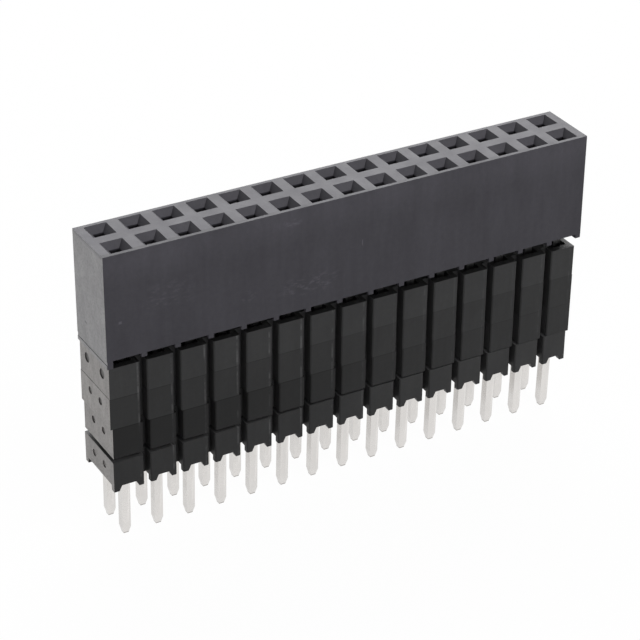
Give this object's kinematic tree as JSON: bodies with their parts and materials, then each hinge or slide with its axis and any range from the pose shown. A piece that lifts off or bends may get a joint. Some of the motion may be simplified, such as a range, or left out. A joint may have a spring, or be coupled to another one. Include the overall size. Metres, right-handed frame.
{
  "type": "female pin header strip",
  "caption": "Tall double-row female pin header strip: a socket housing on a stack of comb-sided spacers, with long square solder tails below.",
  "frame": {"origin": "middle of the contact pattern, level with the feet of the bottom spacer, which is where the strip meets a circuit board", "axes": "+X along the strip, +Y across its two rows, +Z from the board towards the mating face; the tails reach below the origin"},
  "size_m": [0.0386, 0.0048, 0.0229],
  "materials": {
    "housing_grey": "dark grey moulded thermoplastic, satin",
    "spacer_black": "black moulded thermoplastic, satin, with cut end faces",
    "tin": "tin-plated contact metal, soft sheen"
  },
  "bodies": {
    "root": {"socket_housing": "housing_grey", "spacer_1": "spacer_black", "spacer_2": "spacer_black", "spacer_3": "spacer_black", "spacer_4": "spacer_black", "contact_front_01": "tin", "contact_front_02": "tin", "contact_front_03": "tin", "contact_front_04": "tin", "contact_front_05": "tin", "contact_front_06": "tin", "contact_front_07": "tin", "contact_front_08": "tin", "contact_front_09": "tin", "contact_front_10": "tin", "contact_front_11": "tin", "contact_front_12": "tin", "contact_front_13": "tin", "contact_front_14": "tin", "contact_front_15": "tin", "contact_back_01": "tin", "contact_back_02": "tin", "contact_back_03": "tin", "contact_back_04": "tin", "contact_back_05": "tin", "contact_back_06": "tin", "contact_back_07": "tin", "contact_back_08": "tin", "contact_back_09": "tin", "contact_back_10": "tin", "contact_back_11": "tin", "contact_back_12": "tin", "contact_back_13": "tin", "contact_back_14": "tin", "contact_back_15": "tin"}
  },
  "joints": []
}
